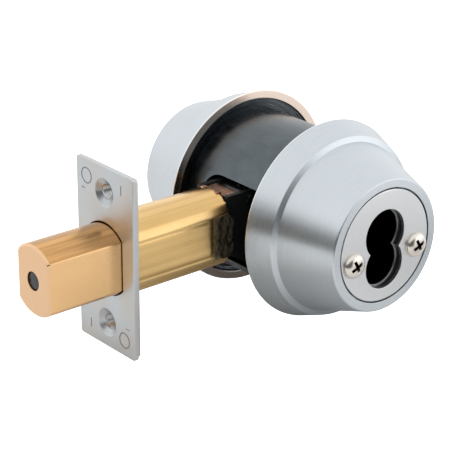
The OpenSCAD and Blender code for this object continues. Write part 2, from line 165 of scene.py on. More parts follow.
def creased(points, crease):
    """The case's outline with a rolled groove, crease deep, where each corner flat meets the side."""
    made = []
    for y, z in points:
        off = (abs(z) - CREASE_Z) / CREASE_HALF_W
        depth = crease * math.exp(-off * off) if abs(y) > SIDE_FROM_Y else 0.0
        made.append((y - math.copysign(depth, y), z))
    return made


def evened(points, count=192, passes=5):
    """The same closed outline as count evenly spaced points, with its corners softened."""
    loop = [Vector(p) for p in points]
    lengths = [(loop[(i + 1) % len(loop)] - p).length for i, p in enumerate(loop)]
    total, even, at, passed = sum(lengths), [], 0, 0.0
    for k in range(count):
        target = total * k / count
        while passed + lengths[at] < target:
            passed += lengths[at]
            at += 1
        t = (target - passed) / lengths[at]
        even.append(loop[at].lerp(loop[(at + 1) % len(loop)], t))
    for _ in range(passes):
        even = [(even[k - 1] + 2 * even[k] + even[(k + 1) % count]) / 4 for k in range(count)]
    return [tuple(p) for p in even]


def figure_eight(extra=0.0, steps=64):
    """The core socket's outline, in (x, z), let out by extra."""
    (zu, ru), (zl, rl) = UPPER_LOBE, LOWER_LOBE
    ru, rl = ru + extra, rl + extra
    gap = zu - zl
    below = (gap * gap + ru * ru - rl * rl) / (2 * gap)
    waist_u = math.acos(below / ru)
    waist_l = math.acos((gap - below) / rl)
    upper = arc((0, zu), ru, -math.pi / 2 + waist_u, 1.5 * math.pi - waist_u, steps)
    lower = arc((0, zl), rl, math.pi / 2 + waist_l, 2.5 * math.pi - waist_l, steps)
    return upper + lower[1:-1]


# -------- mesh building


def linked(name, data):
    """A new object in the scene."""
    made = bpy.data.objects.new(name, data)
    bpy.context.scene.collection.objects.link(made)
    return made


def new_piece(name, mesh_maker, smooth=True):
    """A new object whose mesh mesh_maker(bm) fills, with outward normals."""
    bm = bmesh.new()
    mesh_maker(bm)
    bmesh.ops.remove_doubles(bm, verts=bm.verts, dist=1e-7)
    bmesh.ops.recalc_face_normals(bm, faces=bm.faces)
    mesh = bpy.data.meshes.new(name)
    bm.to_mesh(mesh)
    bm.free()
    mesh.polygons.foreach_set("use_smooth", [smooth] * len(mesh.polygons))
    return linked(name, mesh)


def bridge(bm, ring_a, ring_b):
    count = len(ring_a)
    for i in range(count):
        j = (i + 1) % count
        bm.faces.new((ring_a[i], ring_a[j], ring_b[j], ring_b[i]))


def turned(bm, r, y, turn, centre, side):
    """A vertex at radius r and height y, turned about the Y axis through centre (x, z)."""
    return bm.verts.new((centre[0] + r * math.cos(turn), side * y,
                         centre[1] + r * math.sin(turn)))


def lathe(name, section, centre=(0, 0), segments=240, side=1):
    """Turns a closed (radius, y) section about the Y axis through centre (x, z)."""
    def make(bm):
        rings = [[turned(bm, r, y, 2 * math.pi * k / segments, centre, side) for r, y in section]
                 for k in range(segments)]
        for k in range(segments):
            bridge(bm, rings[k], rings[(k + 1) % segments])
    return new_piece(name, make)


def lathe_solid(name, section, centre=(0, 0), segments=96, side=1):
    """Turns an open (radius, y) section whose two ends lie on the axis."""
    def make(bm):
        first = turned(bm, 0, section[0][1], 0, centre, side)
        last = turned(bm, 0, section[-1][1], 0, centre, side)
        rings = [[turned(bm, r, y, 2 * math.pi * k / segments, centre, side)
                  for k in range(segments)] for r, y in section[1:-1]]
        for a, b in zip(rings, rings[1:]):
            bridge(bm, a, b)
        for k in range(segments):
            j = (k + 1) % segments
            bm.faces.new((first, rings[0][k], rings[0][j]))
            bm.faces.new((last, rings[-1][j], rings[-1][k]))
    return new_piece(name, make)


def place_x(u, v, along):
    return (along, u, v)


def place_y(u, v, along):
    return (u, along, v)


def place_z(u, v, along):
    return (u, v, along)


def plate(name, outline, holes, low, high, place, bevel=0.12 * MM):
    """A flat plate with holes and rounded edges, filled between outline and holes by a 2D curve."""
    curve = bpy.data.curves.new(name, "CURVE")
    curve.dimensions = "2D"
    curve.fill_mode = "BOTH"
    curve.extrude = (high - low) / 2 - bevel
    curve.bevel_depth = bevel
    curve.bevel_resolution = 2
    curve.offset = -bevel
    for loop in [outline] + list(holes):
        spline = curve.splines.new("POLY")
        spline.points.add(len(loop) - 1)
        for point, (u, v) in zip(spline.points, loop):
            point.co = (u / MM, v / MM, 0, 1)
        spline.use_cyclic_u = True
    curve.extrude /= MM
    curve.bevel_depth /= MM
    curve.offset /= MM
    drawn = linked(name + "_curve", curve)
    source = bpy.data.meshes.new_from_object(drawn.evaluated_get(
        bpy.context.evaluated_depsgraph_get()))
    bpy.data.objects.remove(drawn)
    middle = (low + high) / 2

    def make(bm):
        bm.from_mesh(source)
        for vert in bm.verts:
            u, v, along = vert.co * MM
            vert.co = place(u, v, along + middle)
    piece = new_piece(name, make)
    bpy.data.meshes.remove(source)
    return piece


def prism(name, outline, low, high, place):
    """A plain closed prism."""
    def make(bm):
        ends = [[bm.verts.new(place(u, v, along)) for u, v in outline] for along in (low, high)]
        bridge(bm, ends[0], ends[1])
        bm.faces.new(ends[0])
        bm.faces.new(ends[1])
    return new_piece(name, make, smooth=False)


def loft(name, rings, closed=False):
    """Skins rings of 3D points. A closed loft joins the last ring to the first; others are capped."""
    def make(bm):
        made = [[bm.verts.new(p) for p in ring] for ring in rings]
        for a, b in zip(made, made[1:]):
            bridge(bm, a, b)
        if closed:
            bridge(bm, made[-1], made[0])
        else:
            bm.faces.new(made[0])
            bm.faces.new(made[-1])
    return new_piece(name, make)


def apply_boolean(piece, cutter, operation="DIFFERENCE"):
    """Cuts (or joins) cutter into piece for good, and deletes cutter."""
    modifier = piece.modifiers.new("boolean", "BOOLEAN")
    modifier.operation = operation
    modifier.solver = "EXACT"
    modifier.object = cutter
    result = bpy.data.meshes.new_from_object(piece.evaluated_get(
        bpy.context.evaluated_depsgraph_get()))
    piece.modifiers.clear()
    old = piece.data
    piece.data = result
    bpy.data.meshes.remove(old)
    bpy.data.objects.remove(cutter)


def cut(piece, outline, start, end, place):
    """Cuts a prism of the outline, from start to end, out of the piece."""
    apply_boolean(piece, prism("cutter", outline, *sorted((start, end)), place))


def turn_to_x(piece, x=0.0, z=0.0):
    """Turns a piece made round the Y axis to lie along X, and moves it to (x, z)."""
    piece.data.transform(Matrix.Rotation(-math.pi / 2, 4, "Z"))
    piece.data.transform(Matrix.Translation((x, 0, z)))


def smooth_all(piece):
    piece.data.polygons.foreach_set("use_smooth", [True] * len(piece.data.polygons))


def join(name, parts):
    """One object from several closed ones."""
    bm = bmesh.new()
    for part in parts:
        bm.from_mesh(part.data)
        bpy.data.objects.remove(part)
    mesh = bpy.data.meshes.new(name)
    bm.to_mesh(mesh)
    bm.free()
    return linked(name, mesh)


def soften(piece, width=0.15 * MM, segments=3, angle=25, weld=False):
    """Rounds edges sharper than angle and keeps flat faces flat in their shading."""
    if weld:
        piece.modifiers.new("weld", "WELD").merge_threshold = 1e-6
    if width:
        bevel = piece.modifiers.new("edges", "BEVEL")
        bevel.limit_method = "ANGLE"
        bevel.angle_limit = math.radians(angle)
        bevel.width = width
        bevel.segments = segments
        bevel.miter_outer = "MITER_ARC"
    piece.modifiers.new("normals", "WEIGHTED_NORMAL").keep_sharp = True


def keep_sharp(piece, angle=30):
    """Marks edges sharper than angle, so that smooth shading stops there."""
    piece.data.set_sharp_from_angle(angle=math.radians(angle))


def install(piece, body, finish, slot, *nodes):
    """Gives a finished piece its material and body, and hides the CAD nodes that it stands for. slot is
    not used.
    """
    piece.data.materials.clear()
    piece.data.materials.append(MATERIALS[finish])
    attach(piece, body)
    if nodes:
        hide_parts(*nodes)
    return piece


# -------- material building


class Nodes:
    """Short helpers for a tree of procedural nodes over one set of coordinates."""

    def __init__(self, tree, coords):
        self.tree = tree
        self.coords = tree.nodes.new("ShaderNodeTexCoord").outputs[coords]

    def node(self, kind, **inputs):
        made = self.tree.nodes.new(kind)
        for key, value in inputs.items():
            self.feed(made.inputs[key.replace("_", " ")], value)
        return made

    def feed(self, socket, value):
        if isinstance(value, bpy.types.NodeSocket):
            self.tree.links.new(value, socket)
        else:
            socket.default_value = value

    def math(self, operation, a, b=0.0):
        made = self.tree.nodes.new("ShaderNodeMath")
        made.operation = operation
        self.feed(made.inputs[0], a)
        self.feed(made.inputs[1], b)
        return made.outputs[0]

    def times(self, a, b):
        return self.math("MULTIPLY", a, b)

    def plus(self, a, b):
        return self.math("ADD", a, b)

    def minus(self, a, b):
        return self.math("SUBTRACT", a, b)

    def absolute(self, a):
        return self.math("ABSOLUTE", a)

    def distance(self, a, b):
        """The length of the hypotenuse over a and b."""
        return self.math("SQRT", self.plus(self.times(a, a), self.times(b, b)))

    def parts(self):
        """The object coordinates' X, Y and Z."""
        return self.node("ShaderNodeSeparateXYZ", Vector=self.coords).outputs


class Shader(Nodes):
    """A Principled material with the patterns that its colour, roughness and bump are made of."""

    def __init__(self, name, colour, metallic=0.0, roughness=0.4, anisotropic=0.0):
        self.material = bpy.data.materials.new(name)
        self.material.use_nodes = True
        super().__init__(self.material.node_tree, "Object")
        self.out = self.tree.nodes["Principled BSDF"]
        self.set("Base Color", (*colour, 1))
        self.set("Metallic", metallic)
        self.set("Roughness", roughness)
        if anisotropic:
            self.set("Anisotropic", anisotropic)

    def set(self, socket, value):
        self.out.inputs[socket].default_value = value

    def stretched(self, scale):
        """Object coordinates in millimetres, scaled per axis."""
        made = self.tree.nodes.new("ShaderNodeVectorMath")
        made.operation = "MULTIPLY"
        self.feed(made.inputs[0], self.coords)
        made.inputs[1].default_value = [s / MM for s in scale]
        return made.outputs[0]

    def polar(self, per_mm=1.0):
        """Coordinates for marks that run round the Y axis: radius and y across, slow drift along."""
        parts = self.parts()
        drift = self.plus(parts["X"], self.times(parts["Z"], 0.7))
        return self.node("ShaderNodeCombineXYZ",
                         X=self.times(self.distance(parts["X"], parts["Z"]), per_mm / MM),
                         Y=self.times(parts["Y"], per_mm / MM),
                         Z=self.times(drift, 0.12 / MM)).outputs[0]

    def noise(self, vector, scale=1.0, detail=3.0, roughness=0.5, distortion=0.0):
        made = self.node("ShaderNodeTexNoise", Vector=vector)
        for key, value in (("Scale", scale), ("Detail", detail), ("Roughness", roughness),
                           ("Distortion", distortion)):
            made.inputs[key].default_value = value
        return made.outputs["Fac"]

    def pattern(self, scale, **options):
        """A noise whose coordinates are stretched by scale, per axis and per millimetre."""
        return self.noise(self.stretched(scale), **options)

    def spread(self, value, low, high, out_low=0.0, out_high=1.0):
        """Maps low..high to out_low..out_high, clamped."""
        made = self.node("ShaderNodeMapRange", Value=value)
        for key, number in (("From Min", low), ("From Max", high), ("To Min", out_low),
                            ("To Max", out_high)):
            made.inputs[key].default_value = number
        return made.outputs["Result"]

    def vary(self, pattern, out_low=0.0, out_high=1.0):
        """spread() over the range that a noise mostly fills."""
        return self.spread(pattern, 0.3, 0.7, out_low, out_high)

    def blend(self, factor, colour_a, colour_b):
        made = self.tree.nodes.new("ShaderNodeMix")
        made.data_type = "RGBA"
        self.feed(made.inputs["Factor"], factor)
        for socket, colour in ((made.inputs["A"], colour_a), (made.inputs["B"], colour_b)):
            self.feed(socket, colour if isinstance(colour, bpy.types.NodeSocket) else (*colour, 1))
        return made.outputs["Result"]

    def paint(self, colour):
        self.feed(self.out.inputs["Base Color"], colour)

    def rough(self, value):
        self.feed(self.out.inputs["Roughness"], value)

    def bump(self, height, distance):
        """distance is in millimetres. Several bumps chain."""
        made = self.node("ShaderNodeBump", Height=height)
        made.inputs["Distance"].default_value = distance * MM
        normal = self.out.inputs["Normal"]
        if normal.links:
            self.feed(made.inputs["Normal"], normal.links[0].from_socket)
        self.feed(normal, made.outputs["Normal"])

    def tangent(self, axis):
        made = self.tree.nodes.new("ShaderNodeTangent")
        made.direction_type = "RADIAL"
        made.axis = axis
        self.feed(self.out.inputs["Tangent"], made.outputs[0])


def shade(colour, factor):
    return [c * factor for c in colour]


def turned_chrome(name, colour, roughness, marks, edge_colour):
    """Satin chrome with fine marks round the Y axis, faint smudges, a painted highlight band along the
    rim and a warm-tinted rim face.
    """
    s = Shader(name, colour, metallic=1.0, roughness=roughness, anisotropic=0.6)
    s.set("Anisotropic Rotation", 0.25)
    parts = s.parts()
    lines = s.noise(s.polar(per_mm=13.0), detail=4.0, roughness=0.6)
    coarse = s.noise(s.polar(per_mm=3.0), detail=3.0)
    smudge = s.pattern((0.05, 0.05, 0.05), detail=3.0)
    tone = s.blend(s.spread(s.plus(lines, coarse), 0.75, 1.25), shade(colour, 0.93), colour)
    from_middle = s.absolute(parts["Y"])
    # painted highlight: the first half millimetre in from the rim is painted near-white, as an edge
    # catching the light
    painted_rim_highlight = s.spread(from_middle, RIM_Y + 0.42 * MM, RIM_Y + 0.52 * MM, 1.0, 0.0)
    rim = s.spread(from_middle, RIM_Y + 0.03 * MM, RIM_Y + 0.10 * MM, 1.0, 0.0)
    tone = s.blend(painted_rim_highlight, tone, (0.95, 0.965, 0.98))
    s.paint(s.blend(rim, tone, edge_colour))
    satin = s.plus(s.vary(lines, roughness - 0.05, roughness + 0.06),
                   s.spread(smudge, 0.35, 0.7, 0.0, 0.05))
    s.rough(s.minus(satin, s.times(rim, 0.13)))
    s.bump(lines, marks)
    s.bump(coarse, marks * 1.2)
    s.tangent("Y")
    return s.material


def satin_disc(name, colour, roughness):
    """Smooth satin chrome with a barely visible cross grain."""
    s = Shader(name, colour, metallic=1.0, roughness=roughness, anisotropic=0.3)
    grain = s.pattern((1.2, 6.0, 12.0), detail=3.0)
    cloud = s.pattern((0.12, 0.12, 0.12), detail=2.0)
    s.paint(s.blend(s.vary(grain), shade(colour, 0.95), colour))
    s.rough(s.vary(cloud, roughness - 0.03, roughness + 0.05))
    s.bump(grain, 0.0020)
    return s.material


def brushed_steel(name, colour, roughness, grain_scale, bump=0.004, streak=0.88):
    """Steel brushed along one axis: grain_scale is small along the grain."""
    s = Shader(name, colour, metallic=1.0, roughness=roughness, anisotropic=0.4)
    grain = s.pattern(grain_scale, detail=4.0, roughness=0.65)
    cloud = s.pattern((0.10, 0.10, 0.10), detail=3.0)
    pits = s.pattern((3.0, 3.0, 3.0), detail=2.0)
    s.paint(s.blend(s.vary(grain), shade(colour, streak), colour))
    s.rough(s.plus(s.vary(grain, roughness - 0.05, roughness + 0.05), s.vary(cloud, -0.02, 0.05)))
    s.bump(grain, bump)
    s.bump(pits, bump * 0.5)
    return s.material


def sunk_plate(name, colour, warm, roughness):
    """Faceplate steel: linished up and down, clouded, with turned countersinks painted darker as shade,
    and dark marks.
    """
    s = Shader(name, colour, metallic=1.0, roughness=roughness, anisotropic=0.4)
    parts = s.parts()
    dz = s.minus(s.absolute(parts["Z"]), PLATE_HOLE_Z)
    radius = s.distance(dz, parts["Y"])
    sunk = s.spread(radius, 4.15 * MM, 4.35 * MM, 1.0, 0.0)
    height = s.absolute(parts["Z"])
    width = s.absolute(parts["Y"])
    cut = s.spread(parts["X"], PLATE_LOW[0] + 0.03 * MM, PLATE_LOW[0] + 0.07 * MM)
    for value, low, high in ((parts["X"], PLATE_LOW[0] + 0.4 * MM, PLATE_LOW[0] + 0.5 * MM),
                             (height, PLATE_HIGH[2] - 0.8 * MM, PLATE_HIGH[2] - 0.7 * MM),
                             (width, PLATE_HIGH[1] - 0.8 * MM, PLATE_HIGH[1] - 0.7 * MM)):
        cut = s.times(cut, s.spread(value, low, high, 1.0, 0.0))
    cut = s.times(cut, s.spread(height, 15.0 * MM, 15.1 * MM))
    cut = s.times(cut, s.spread(radius, 4.5 * MM, 4.6 * MM))
    grain = s.pattern((5.0, 7.0, 0.5), detail=4.0, roughness=0.65)
    cloud = s.pattern((0.10, 0.10, 0.07), detail=4.0, distortion=0.4)
    tone = s.blend(s.vary(grain), shade(colour, 0.91), colour)
    tone = s.blend(s.spread(cloud, 0.40, 0.60, 0.0, 0.8), tone, warm)
    tone = s.blend(s.times(cut, 0.7), tone, shade(colour, 0.25))
    # painted shade: the countersinks are a darker tone than the flat face
    s.paint(s.blend(sunk, tone, shade(colour, 0.78)))
    flat = s.plus(s.vary(grain, roughness - 0.04, roughness + 0.05), s.vary(cloud, -0.02, 0.04))
    s.rough(s.minus(flat, s.times(sunk, 0.12)))
    s.bump(grain, 0.003)
    return s.material


def drawn_brass(name, colour, dark, roughness, along=0.03, across=6.0, bump=0.002,
                band_share=0.0, finish=None):
    """Deep-drawn brass: fine draw lines along X, a few broad bands and faint tarnish clouds."""
    s = Shader(name, colour, metallic=1.0, roughness=roughness, anisotropic=0.35)
    grain = s.pattern((along, across, across), detail=4.0, roughness=0.6)
    bands = s.pattern((along * 0.15, across * 0.07, across * 0.07), detail=2.0)
    cloud = s.pattern((0.05, 0.10, 0.10), detail=4.0, distortion=0.4)
    speck = s.pattern((1.6, 1.6, 1.6), detail=3.0)
    tint = s.blend(s.spread(bands, 0.44, 0.60, 0.0, 0.42), colour, dark)
    tint = s.blend(s.vary(grain, 0.0, 0.16), tint, dark)
    tint = s.blend(s.spread(cloud, 0.45, 0.7, 0.0, 0.30), tint, dark)
    tint = s.blend(s.spread(speck, 0.55, 0.75, 0.0, 0.16), tint, dark)
    if finish:
        tint = finish(s, tint)
    s.paint(tint)
    s.rough(s.plus(s.vary(grain, roughness - 0.03, roughness + 0.05), s.vary(cloud, -0.02, 0.06)))
    s.bump(grain, bump)
    s.bump(speck, bump * 1.5)
    s.bump(bands, bump * band_share)
    return s.material


def darken_by_windows(s, tint):
    """Darkens the case's sides, with a ragged edge, just ahead of the rear windows."""
    parts = s.parts()
    ragged = s.pattern((0.8, 0.8, 0.5), detail=4.0, distortion=0.6)
    x = s.plus(parts["X"], s.times(s.minus(ragged, 0.5), 1.6 * MM))
    middle = (SIDE_WINDOW_TOP + SIDE_WINDOW_BOTTOM) / 2
    height = s.absolute(s.minus(parts["Z"], middle))
    mask = s.times(s.spread(x, SIDE_WINDOW_X - 2.1 * MM, SIDE_WINDOW_X - 1.1 * MM),
                  s.spread(height, 6.4 * MM, 7.6 * MM, 1.0, 0.0))
    mask = s.times(mask, s.spread(s.absolute(parts["Y"]), 6 * MM, 7 * MM))
    s.feed(s.out.inputs["Metallic"], s.spread(mask, 0.0, 1.0, 1.0, 0.45))
    # dark bronze painted on the brass so that the cheek tab behind each window looks larger
    dark_bronze = s.blend(s.spread(ragged, 0.40, 0.60), (0.045, 0.037, 0.026), (0.22, 0.175, 0.11))
    return s.blend(s.times(mask, 0.9), tint, dark_bronze)


def painted_edge_highlight(s, tint):
    """Paints a highlight on the tongue's cut edges, just below its top."""
    height = s.parts()["Z"]
    highlight_band = s.spread(height, TONGUE_TOP - 0.09 * MM, TONGUE_TOP - 0.03 * MM, 1.0, 0.0)
    # painted highlight along the cut edges
    return s.blend(highlight_band, tint, (1.0, 0.93, 0.80))


def milled_brass(name, flats, rounds, front, roughness):
    """Bolt brass: bright linished flats, darker drawn top and bottom, and a smooth front."""
    s = Shader(name, flats, metallic=1.0, roughness=roughness, anisotropic=0.3)
    parts = s.parts()
    on_flat = s.spread(s.absolute(parts["Y"]), BOLT_HALF_W - 0.12 * MM, BOLT_HALF_W - 0.02 * MM)
    on_front = s.spread(parts["X"], BOLT_LOW[0] + 0.60 * MM, BOLT_LOW[0] + 0.75 * MM, 1.0, 0.0)
    streak = s.pattern((0.02, 0.5, 0.5), detail=3.0, roughness=0.5)
    linish = s.pattern((2.6, 1.0, 4.2), detail=4.0, roughness=0.65)
    cloud = s.pattern((0.09, 0.09, 0.09), detail=3.0)
    drawn = s.blend(s.spread(streak, 0.36, 0.64), shade(rounds, 0.78), shade(rounds, 1.14))
    milled = s.blend(s.vary(linish), shade(flats, 0.93), flats)
    milled = s.blend(s.spread(cloud, 0.35, 0.7, 0.0, 0.4), milled, shade(flats, 0.90))
    tone = s.blend(on_flat, drawn, milled)
    s.paint(s.blend(on_front, tone, front))
    fine = s.times(linish, on_flat)
    s.rough(s.plus(s.vary(fine, roughness - 0.03, roughness + 0.04), s.vary(cloud, -0.02, 0.04)))
    s.bump(fine, 0.003)
    s.bump(streak, 0.012)
    return s.material


def dark_metal(name, colour, roughness, mottle=1.5, peel=0.004, highlight_radii=()):
    """Blackened metal: dark, glossy, a little uneven, with painted highlight lines at the given radii.
    """
    s = Shader(name, colour, metallic=1.0, roughness=roughness)
    fine = s.pattern((5.0, 5.0, 5.0), detail=3.0)
    wide = s.pattern((0.22, 0.16, 0.22), detail=4.0, distortion=0.3)
    tone = s.blend(s.spread(wide, 0.35, 0.7), colour, shade(colour, mottle))
    radius = s.node("ShaderNodeSeparateXYZ", Vector=s.polar()).outputs["X"]
    for highlight_radius in highlight_radii:
        away = s.absolute(s.minus(radius, highlight_radius / MM))
        # painted highlight: a light line at each step's edge, where it would catch the light
        tone = s.blend(s.spread(away, 0.10, 0.20, 0.7, 0.0), tone, (0.62, 0.65, 0.68))
    s.paint(tone)
    s.rough(s.plus(s.spread(wide, 0.35, 0.7, roughness - 0.04, roughness + 0.08),
                   s.vary(fine, -0.03, 0.03)))
    s.bump(fine, peel)
    return s.material


def cheek_bronze(name, arm, tab, roughness):
    """Black cheek plates whose outer tabs, in the case's windows, are rubbed to dark bronze."""
    s = Shader(name, arm, metallic=0.55, roughness=roughness)
    parts = s.parts()
    outer = s.spread(s.absolute(parts["Y"]), CHEEK_HIGH[1] - 1.0 * MM, CHEEK_HIGH[1] - 0.4 * MM)
    mottle = s.pattern((0.7, 0.7, 0.35), detail=4.0, distortion=0.8)
    fine = s.pattern((4.0, 4.0, 4.0), detail=3.0)
    bronze = s.blend(s.spread(mottle, 0.40, 0.60), shade(tab, 0.22), tab)
    s.paint(s.blend(outer, arm, bronze))
    s.rough(s.minus(s.vary(fine, roughness - 0.03, roughness + 0.04), s.times(outer, 0.12)))
    s.bump(mottle, 0.05)
    s.bump(fine, 0.004)
    return s.material


def socket_black(name, colour, front, roughness):
    """Dark core housing whose first few millimetres are a lighter grey."""
    s = Shader(name, colour, metallic=1.0, roughness=roughness)
    parts = s.parts()
    fine = s.pattern((6.0, 6.0, 6.0), detail=3.0)
    wide = s.pattern((0.25, 0.25, 0.25), detail=4.0)
    outer = s.spread(s.absolute(parts["Y"]), SOCKET_STEP_Y - 0.6 * MM, SOCKET_STEP_Y)
    base = s.blend(s.spread(wide, 0.35, 0.7), colour, shade(colour, 1.6))
    s.paint(s.blend(outer, base, front))
    s.rough(s.vary(fine, roughness - 0.04, roughness + 0.05))
    s.bump(fine, 0.006)
    return s.material


def screw_steel(name, colour, roughness):
    """Nickel-plated screws, bright on the head, with painted shade inside the cross recess."""
    s = Shader(name, colour, metallic=1.0, roughness=roughness)
    parts = s.parts()
    dx = s.minus(s.absolute(parts["X"]), SCREW_X)
    dz = s.minus(parts["Z"], SCREW_Z)
    radius = s.distance(dx, dz)
    # how far a point lies below the dome, which is rounded like a shallow cap
    dome = s.times(s.times(radius, radius), 0.038 / MM)
    depth = s.minus(s.plus(parts["Y"], DISC_HIGH[1] + HEAD_T), dome)
    inside = s.times(s.spread(depth, 0.22 * MM, 0.5 * MM),
                    s.spread(radius, 2.4 * MM, 2.7 * MM, 1.0, 0.0))
    fine = s.pattern((2.5, 2.5, 2.5), detail=3.0)
    tone = s.blend(s.vary(fine), shade(colour, 0.92), colour)
    # painted shade fills the cross recess
    s.paint(s.blend(inside, tone, (0.10, 0.08, 0.065)))
    s.rough(s.vary(fine, roughness - 0.03, roughness + 0.06))
    s.bump(fine, 0.003)
    return s.material


MATERIALS = {
    "satin_chrome": turned_chrome("satin_chrome", (0.69, 0.73, 0.765), 0.29, 0.0025,
                                  (0.88, 0.73, 0.635)),
    "face_satin": satin_disc("face_satin", (0.80, 0.81, 0.82), 0.33),
    "faceplate_steel": sunk_plate("faceplate_steel", (0.66, 0.69, 0.715), (0.67, 0.64, 0.61), 0.40),
    "flange_steel": brushed_steel("flange_steel", (0.66, 0.66, 0.66), 0.30, (5.0, 7.0, 0.5)),
    "case_brass": drawn_brass("case_brass", (0.92, 0.63, 0.29), (0.62, 0.38, 0.13), 0.20,
                              band_share=30.0, finish=darken_by_windows),
    "tongue_copper": drawn_brass("tongue_copper", (0.86, 0.52, 0.38), (0.50, 0.24, 0.15), 0.24,
                                 0.4, 2.0, finish=painted_edge_highlight),
    "bolt_brass": milled_brass("bolt_brass", (1.0, 0.63, 0.31), (0.70, 0.39, 0.16),
                               (0.88, 0.57, 0.34), 0.24),
    "black_steel": cheek_bronze("black_steel", (0.028, 0.031, 0.032), (0.17, 0.145, 0.10), 0.34),
    "chassis_black": dark_metal("chassis_black", (0.112, 0.128, 0.138), 0.27, 1.25),
    "housing_black": socket_black("housing_black", (0.018, 0.018, 0.019), (0.42, 0.42, 0.43),
                                  0.32),
    "flange_black": dark_metal("flange_black", (0.066, 0.074, 0.082), 0.26, 1.3,
                               highlight_radii=FLANGE_STEPS),
    "zinc_steel": brushed_steel("zinc_steel", (0.58, 0.59, 0.61), 0.34, (0.6, 3.0, 3.0)),
    "hard_steel": dark_metal("hard_steel", (0.075, 0.08, 0.085), 0.38, 1.3),
    "spring_steel": brushed_steel("spring_steel", (0.40, 0.41, 0.43), 0.28, (0.5, 4.0, 4.0)),
    "throw_brass": drawn_brass("throw_brass", (0.74, 0.58, 0.30), (0.50, 0.36, 0.17), 0.33,
                               4.0, 4.0),
    "screw_nickel": screw_steel("screw_nickel", (0.84, 0.78, 0.71), 0.17),
}

# -------- collars, face plates, flanges


def build_collar(side, node):
    """Tapered collar: rim, first taper, a step, the main cone, a rounded nose and its lip."""
    slope = (CONE_R - NOSE_R) / (NOSE_Y - CONE_Y)
    lip_r = FACE_R + 0.5 * MM

    def cone_at(y):
        return CONE_R - slope * (y - CONE_Y)
    section = rounded([
        (RIM_BORE_R, RIM_Y, 0.25 * MM),
        (RIM_R, RIM_Y, 0.40 * MM),
        (SHOULDER_R, SHOULDER_Y, 0.20 * MM),
        (CONE_R, CONE_Y, 0.30 * MM),
        (NOSE_R, NOSE_Y, 0.75 * MM),
        (lip_r, NOSE_Y, 0.12 * MM),
        (lip_r, LIP_Y, 0.1 * MM),
        (cone_at(LIP_Y) - COLLAR_WALL, LIP_Y, 0.3 * MM),
        (cone_at(CONE_Y) - COLLAR_WALL, CONE_Y, 0.8 * MM),
        (SHOULDER_R - COLLAR_WALL, SHOULDER_Y, 0.8 * MM),
        (RIM_BORE_R, RIM_Y + 3.0 * MM, 0.3 * MM),
    ], 6)
    piece = lathe(node + "_shell", section, side=side, segments=288)
    soften(piece, 0)
    install(piece, node, "satin_chrome", "satin_chrome", node)


def build_face_plate(side, node, with_screws):
    holes = [figure_eight()]
    if with_screws:
        holes += [circle((sx * SCREW_X, SCREW_Z), 2.35 * MM, 48) for sx in (-1, 1)]
    low, high = sorted((side * DISC_LOW[1], side * DISC_HIGH[1]))
    piece = plate(node + "_disc", circle((0, 0), FACE_R, 288), holes, low, high, place_y,
                  0.16 * MM)
    soften(piece, 0)
    install(piece, "root", "face_satin", "face_satin", node)


def build_base_flange(side, node):
    """Stepped black ring inside the collar's rim."""
    steps = [(BASE_HIGH[0], RIM_Y + 0.75 * MM), (FLANGE_STEPS[0], RIM_Y + 1.75 * MM),
             (FLANGE_STEPS[1], BASE_HIGH[1] - 2.0 * MM)]
    bore = TUBE_HIGH[0] + 0.05 * MM
    back_y = BASE_HIGH[1]
    section = rounded([
        (bore, steps[2][1], 0.1 * MM),
        (steps[2][0], steps[2][1], 0.1 * MM),
        (steps[2][0], steps[1][1], 0.25 * MM),
        (steps[1][0], steps[1][1], 0.1 * MM),
        (steps[1][0], steps[0][1], 0.25 * MM),
        (steps[0][0], steps[0][1], 0.2 * MM),
        (steps[0][0], RIM_Y + 2.75 * MM, 0.1 * MM),
        (27.6 * MM, back_y, 0.2 * MM),
        (17.6 * MM, back_y, 0.1 * MM),
        (17.6 * MM, back_y - 2.0 * MM, 0.1 * MM),
    ], 4)
    piece = lathe(node + "_ring", section, side=side, segments=240)
    soften(piece, 0)
    install(piece, "root", "flange_black", "housing_black", node)


def build_socket(side, node):
    """Core housing: turned body with the figure-eight socket cut through its front."""
    shoulder_y = BASE_HIGH[1]
    section = rounded([
        (SOCKET_BACK_R, SOCKET_BACK_Y, 0.1 * MM), (CORE_R, SOCKET_BACK_Y, 0.3 * MM),
        (CORE_R, shoulder_y, 0.1 * MM), (CORE_BASE_R, shoulder_y, 0.3 * MM),
        (CORE_BASE_R, shoulder_y + 2.5 * MM, 0.3 * MM), (CORE_R, shoulder_y + 2.5 * MM, 0.1 * MM),
        (CORE_R, 40.5 * MM, 0.1 * MM), (CORE_LIP_R, 40.5 * MM, 0.2 * MM),
        (CORE_LIP_R, 42.0 * MM, 0.2 * MM), (CORE_R, 42.0 * MM, 0.1 * MM),
        (CORE_R, DISC_LOW[1], 0.1 * MM), (0.0, DISC_LOW[1], 0), (0.0, SOCKET_BACK_Y, 0)], 3)
    path = [(0.0, SOCKET_BACK_Y)] + [p for p in section if p[0] > 0] + [(0.0, DISC_LOW[1])]
    body = lathe_solid(node + "_body", path, side=side, segments=192)
    cut(body, figure_eight(), side * SOCKET_STEP_Y, side * (DISC_LOW[1] + MM), place_y)
    cut(body, figure_eight(-0.35 * MM), side * SOCKET_FLOOR, side * (SOCKET_STEP_Y + 0.001 * MM),
        place_y)
    back = circle((0, LOWER_LOBE[0]), SOCKET_BACK_R, 64)
    cut(body, back, side * 12.0 * MM, side * (SOCKET_FLOOR + MM), place_y)
    keep_sharp(body, 35)
    install(body, "root", "housing_black", "housing_black", node + "_base",
            node + "_barrel")


# -------- chassis tube


